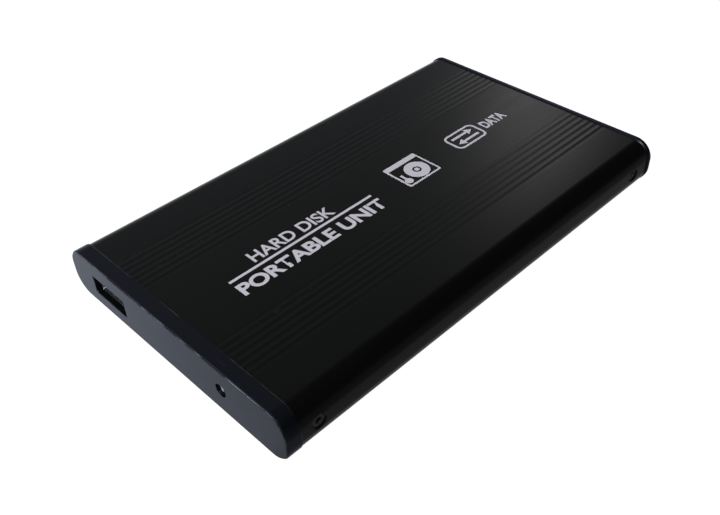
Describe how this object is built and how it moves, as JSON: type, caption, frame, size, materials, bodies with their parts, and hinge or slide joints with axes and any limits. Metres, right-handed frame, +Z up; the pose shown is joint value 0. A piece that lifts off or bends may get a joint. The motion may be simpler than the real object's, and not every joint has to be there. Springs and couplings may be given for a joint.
{
  "type": "hard disk drive",
  "caption": "Slim external 2.5-inch hard disk drive: grooved aluminium sleeve, two end caps, data port and light, with the drive and bridge board on a slide-out front cap.",
  "frame": {"origin": "middle of the underside, on the surface that the case lies on", "axes": "+Z up, +Y along the case from the port end to the closed end, +X to the right when the port face is looked at"},
  "size_m": [0.0746, 0.125, 0.0124],
  "materials": {
    "black_anodised": "black anodised, brushed lengthwise, satin",
    "cap_anodised": "blue-grey anodised, fine blasted matte",
    "white_print": "white silk-screen print, matt",
    "black_screw": "blackened steel",
    "bright_screw": "zinc plated steel",
    "foam": "closed-cell foam",
    "green_board": "glass-fibre board with solder mask",
    "chip_black": "moulded epoxy",
    "tinned_metal": "tinned sheet metal",
    "gold_contact": "gold plated",
    "socket_plastic": "glass-filled nylon",
    "ceramic_parts": "ceramic capacitors with tinned ends",
    "clear_lens": "clear epoxy",
    "cast_aluminium": "die cast, bead blasted",
    "cover_steel": "pressed stainless sheet",
    "gasket_rubber": "moulded seal",
    "label_paper": "blank matt label",
    "platter_mirror": "polished, mirror finish",
    "turned_aluminium": "turned",
    "magnet_nickel": "nickel plated",
    "copper_wire": "enamelled copper winding",
    "frame_plastic": "moulded, matt",
    "ramp_plastic": "moulded acetal",
    "flex_polyimide": "amber polyimide film",
    "filter_fabric": "white filter fleece"
  },
  "bodies": {
    "case": {"sleeve": "black_anodised", "rear_cap": "cap_anodised", "side_screws": "black_screw", "rear_foam_block": "foam"},
    "carriage": {"front_cap": "cap_anodised", "bridge_board": "green_board", "board_screws": "bright_screw", "port_shell": "tinned_metal", "port_tongue": "socket_plastic", "port_contacts": "gold_contact", "drive_socket": "socket_plastic", "socket_contacts": "gold_contact", "bridge_chip": "chip_black", "bridge_crystal": "tinned_metal", "bridge_small_parts": "ceramic_parts", "activity_led": "clear_lens", "led_legs": "tinned_metal", "drive_base": "cast_aluminium", "drive_cover": "cover_steel", "cover_gasket": "gasket_rubber", "cover_screws": "bright_screw", "drive_label": "label_paper", "drive_board": "green_board", "drive_board_screws": "bright_screw", "controller_chip": "chip_black", "memory_chip": "chip_black", "motor_driver_chip": "chip_black", "drive_board_parts": "ceramic_parts", "drive_plug": "socket_plastic", "plug_contacts": "gold_contact", "jumper_block": "socket_plastic", "jumper_pins": "gold_contact", "bearing_sleeve": "turned_aluminium", "stator_core": "magnet_nickel", "stator_coils": "copper_wire", "upper_yoke": "magnet_nickel", "lower_yoke": "magnet_nickel", "upper_magnet": "magnet_nickel", "lower_magnet": "magnet_nickel", "pivot_shaft": "bright_screw", "head_ramp": "ramp_plastic", "flex_cable": "flex_polyimide", "flex_bracket": "frame_plastic", "air_filter": "filter_fabric"},
    "spindle": {"spindle_hub": "turned_aluminium", "spindle_shaft": "bright_screw", "rotor_magnet": "magnet_nickel", "upper_platter": "platter_mirror", "platter_spacer": "turned_aluminium", "lower_platter": "platter_mirror", "disk_clamp": "cover_steel", "clamp_screw": "bright_screw"},
    "actuator": {"head_arms": "turned_aluminium", "pivot_cartridge": "bright_screw", "voice_coil": "copper_wire", "coil_frame": "frame_plastic", "suspensions": "cover_steel", "head_sliders": "chip_black"},
    "latch": {"inertia_latch": "frame_plastic"}
  },
  "joints": [
    {"name": "carriage_slide", "type": "slide", "parent": "case", "child": "carriage", "axis": [0, -1, 0], "range_m": [0, 0.112]},
    {"name": "spindle_spin", "type": "hinge", "parent": "carriage", "child": "spindle", "pos_m": [0, 0.0169, 0.005], "axis": [0, 0, 1], "continuous": true},
    {"name": "actuator_swing", "type": "hinge", "parent": "carriage", "child": "actuator", "pos_m": [0.012, -0.0186, 0.005], "axis": [0, 0, 1], "range_deg": [-36, 0]},
    {"name": "latch_swing", "type": "hinge", "parent": "carriage", "child": "latch", "pos_m": [0.026, -0.0085, 0.0056], "axis": [0, 0, 1], "range_deg": [-6, 6], "stiffness_Nm_per_rad": 0.0005}
  ]
}
